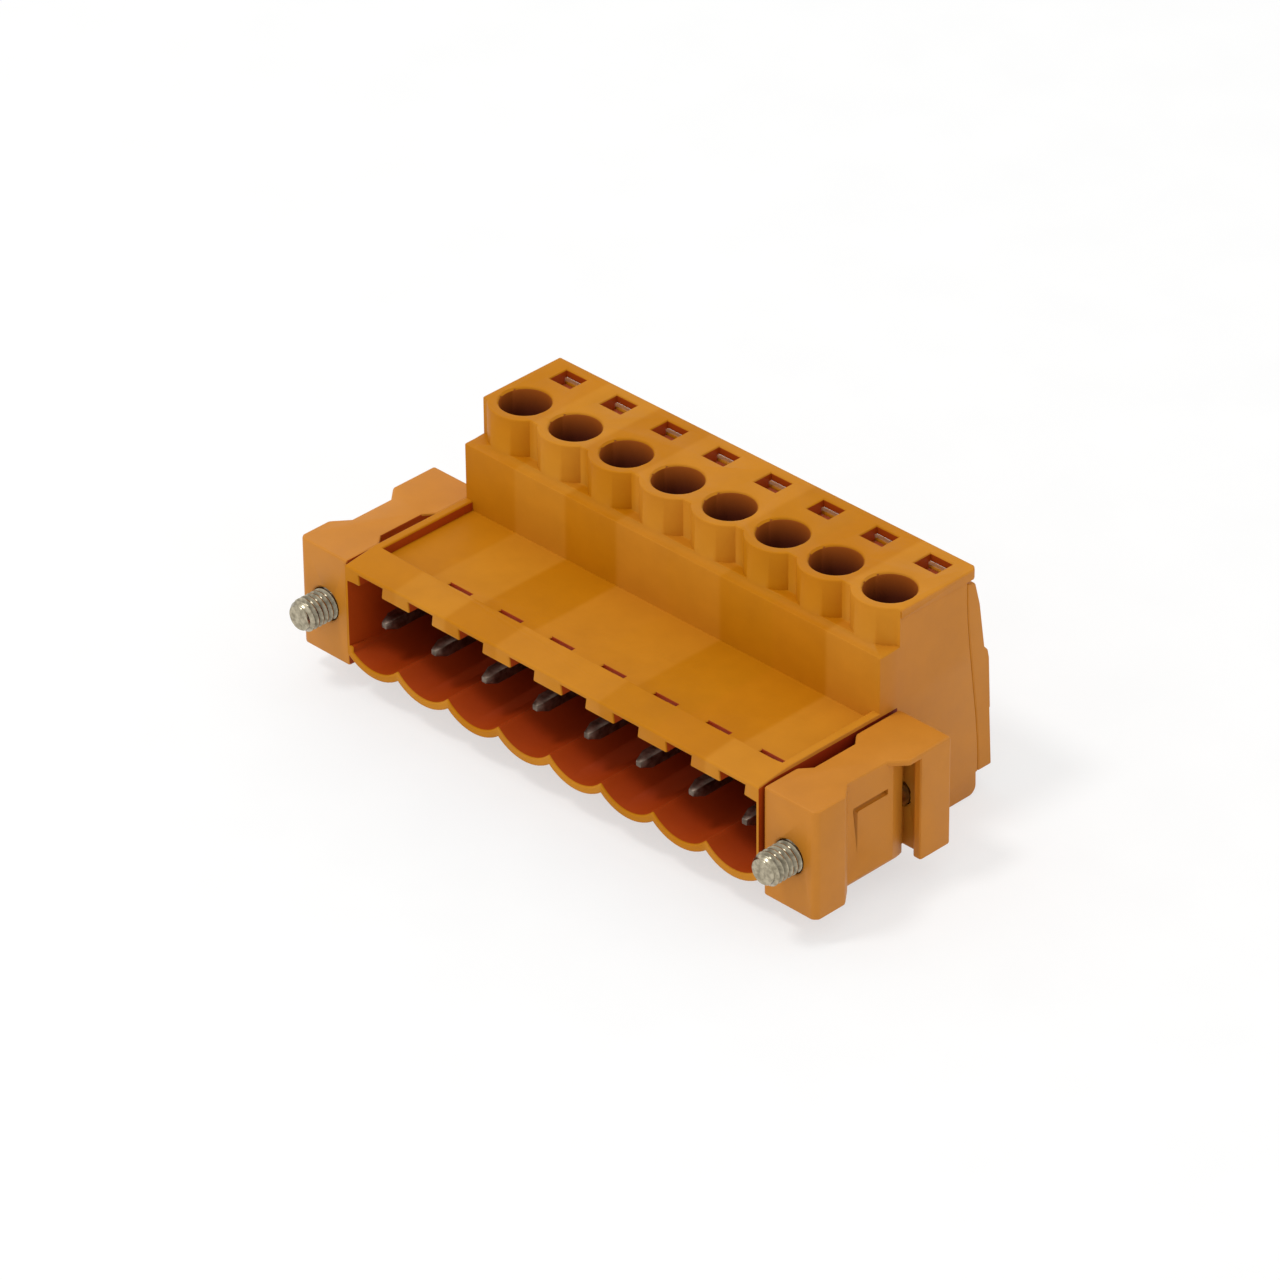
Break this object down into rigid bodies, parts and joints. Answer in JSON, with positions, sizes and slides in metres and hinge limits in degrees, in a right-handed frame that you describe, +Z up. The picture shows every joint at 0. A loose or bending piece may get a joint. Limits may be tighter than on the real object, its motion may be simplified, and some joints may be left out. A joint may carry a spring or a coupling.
{
  "type": "pluggable screw terminal block",
  "caption": "Pluggable screw terminal block with a pin shroud in front, a stepped clamp tower behind it and a captive screw flange at each end.",
  "frame": {"origin": "middle of the bounding box's underside: on the surface the block stands on, midway between its two flanges and midway from screw tips to rear cover", "axes": "+X along the row of poles, from pole 1 to pole 8; +Y from the mating face to the wire side; +Z up out of the screwdriver wells"},
  "size_m": [0.0508, 0.0256, 0.0187],
  "materials": {
    "housing_plastic": "satin moulded polyester, orange",
    "pin_tin": "matt tin plate on copper alloy",
    "screw_nickel": "zinc plated steel, passivated",
    "yoke_steel": "zinc plated steel"
  },
  "bodies": {
    "block": {"housing": "housing_plastic", "rear_cover": "housing_plastic", "flange_left": "housing_plastic", "flange_right": "housing_plastic", "contact_1": "pin_tin", "contact_2": "pin_tin", "contact_3": "pin_tin", "contact_4": "pin_tin", "contact_5": "pin_tin", "contact_6": "pin_tin", "contact_7": "pin_tin", "contact_8": "pin_tin"},
    "screw_1": {"clamp_screw_1": "screw_nickel"},
    "screw_2": {"clamp_screw_2": "screw_nickel"},
    "screw_3": {"clamp_screw_3": "screw_nickel"},
    "screw_4": {"clamp_screw_4": "screw_nickel"},
    "screw_5": {"clamp_screw_5": "screw_nickel"},
    "screw_6": {"clamp_screw_6": "screw_nickel"},
    "screw_7": {"clamp_screw_7": "screw_nickel"},
    "screw_8": {"clamp_screw_8": "screw_nickel"},
    "yoke_1": {"clamp_yoke_1": "yoke_steel"},
    "yoke_2": {"clamp_yoke_2": "yoke_steel"},
    "yoke_3": {"clamp_yoke_3": "yoke_steel"},
    "yoke_4": {"clamp_yoke_4": "yoke_steel"},
    "yoke_5": {"clamp_yoke_5": "yoke_steel"},
    "yoke_6": {"clamp_yoke_6": "yoke_steel"},
    "yoke_7": {"clamp_yoke_7": "yoke_steel"},
    "yoke_8": {"clamp_yoke_8": "yoke_steel"},
    "bolt_left": {"flange_screw_left": "screw_nickel"},
    "bolt_right": {"flange_screw_right": "screw_nickel"}
  },
  "joints": [
    {"name": "clamp_screw_1_turn", "type": "hinge", "parent": "block", "child": "screw_1", "pos_m": [-0.01778, 0.00502, 0.0123], "axis": [0, 0, -1], "range_deg": [0, 2304]},
    {"name": "clamp_screw_2_turn", "type": "hinge", "parent": "block", "child": "screw_2", "pos_m": [-0.0127, 0.00502, 0.0123], "axis": [0, 0, -1], "range_deg": [0, 2304]},
    {"name": "clamp_screw_3_turn", "type": "hinge", "parent": "block", "child": "screw_3", "pos_m": [-0.00762, 0.00502, 0.0123], "axis": [0, 0, -1], "range_deg": [0, 2304]},
    {"name": "clamp_screw_4_turn", "type": "hinge", "parent": "block", "child": "screw_4", "pos_m": [-0.00254, 0.00502, 0.0123], "axis": [0, 0, -1], "range_deg": [0, 2304]},
    {"name": "clamp_screw_5_turn", "type": "hinge", "parent": "block", "child": "screw_5", "pos_m": [0.00254, 0.00502, 0.0123], "axis": [0, 0, -1], "range_deg": [0, 2304]},
    {"name": "clamp_screw_6_turn", "type": "hinge", "parent": "block", "child": "screw_6", "pos_m": [0.00762, 0.00502, 0.0123], "axis": [0, 0, -1], "range_deg": [0, 2304]},
    {"name": "clamp_screw_7_turn", "type": "hinge", "parent": "block", "child": "screw_7", "pos_m": [0.0127, 0.00502, 0.0123], "axis": [0, 0, -1], "range_deg": [0, 2304]},
    {"name": "clamp_screw_8_turn", "type": "hinge", "parent": "block", "child": "screw_8", "pos_m": [0.01778, 0.00502, 0.0123], "axis": [0, 0, -1], "range_deg": [0, 2304]},
    {"name": "clamp_yoke_1_rise", "type": "slide", "parent": "block", "child": "yoke_1", "axis": [0, 0, 1], "range_m": [0, 0.0032]},
    {"name": "clamp_yoke_2_rise", "type": "slide", "parent": "block", "child": "yoke_2", "axis": [0, 0, 1], "range_m": [0, 0.0032]},
    {"name": "clamp_yoke_3_rise", "type": "slide", "parent": "block", "child": "yoke_3", "axis": [0, 0, 1], "range_m": [0, 0.0032]},
    {"name": "clamp_yoke_4_rise", "type": "slide", "parent": "block", "child": "yoke_4", "axis": [0, 0, 1], "range_m": [0, 0.0032]},
    {"name": "clamp_yoke_5_rise", "type": "slide", "parent": "block", "child": "yoke_5", "axis": [0, 0, 1], "range_m": [0, 0.0032]},
    {"name": "clamp_yoke_6_rise", "type": "slide", "parent": "block", "child": "yoke_6", "axis": [0, 0, 1], "range_m": [0, 0.0032]},
    {"name": "clamp_yoke_7_rise", "type": "slide", "parent": "block", "child": "yoke_7", "axis": [0, 0, 1], "range_m": [0, 0.0032]},
    {"name": "clamp_yoke_8_rise", "type": "slide", "parent": "block", "child": "yoke_8", "axis": [0, 0, 1], "range_m": [0, 0.0032]},
    {"name": "flange_screw_left_turn", "type": "hinge", "parent": "block", "child": "bolt_left", "pos_m": [-0.02286, -0.01018, 0.0063], "axis": [0, 1, 0], "continuous": true},
    {"name": "flange_screw_right_turn", "type": "hinge", "parent": "block", "child": "bolt_right", "pos_m": [0.02286, -0.01018, 0.0063], "axis": [0, 1, 0], "continuous": true}
  ],
  "couplings": [
    {"joint": "clamp_screw_1_turn", "follows": "clamp_yoke_1_rise", "rad_per_m": 12566},
    {"joint": "clamp_screw_2_turn", "follows": "clamp_yoke_2_rise", "rad_per_m": 12566},
    {"joint": "clamp_screw_3_turn", "follows": "clamp_yoke_3_rise", "rad_per_m": 12566},
    {"joint": "clamp_screw_4_turn", "follows": "clamp_yoke_4_rise", "rad_per_m": 12566},
    {"joint": "clamp_screw_5_turn", "follows": "clamp_yoke_5_rise", "rad_per_m": 12566},
    {"joint": "clamp_screw_6_turn", "follows": "clamp_yoke_6_rise", "rad_per_m": 12566},
    {"joint": "clamp_screw_7_turn", "follows": "clamp_yoke_7_rise", "rad_per_m": 12566},
    {"joint": "clamp_screw_8_turn", "follows": "clamp_yoke_8_rise", "rad_per_m": 12566}
  ]
}
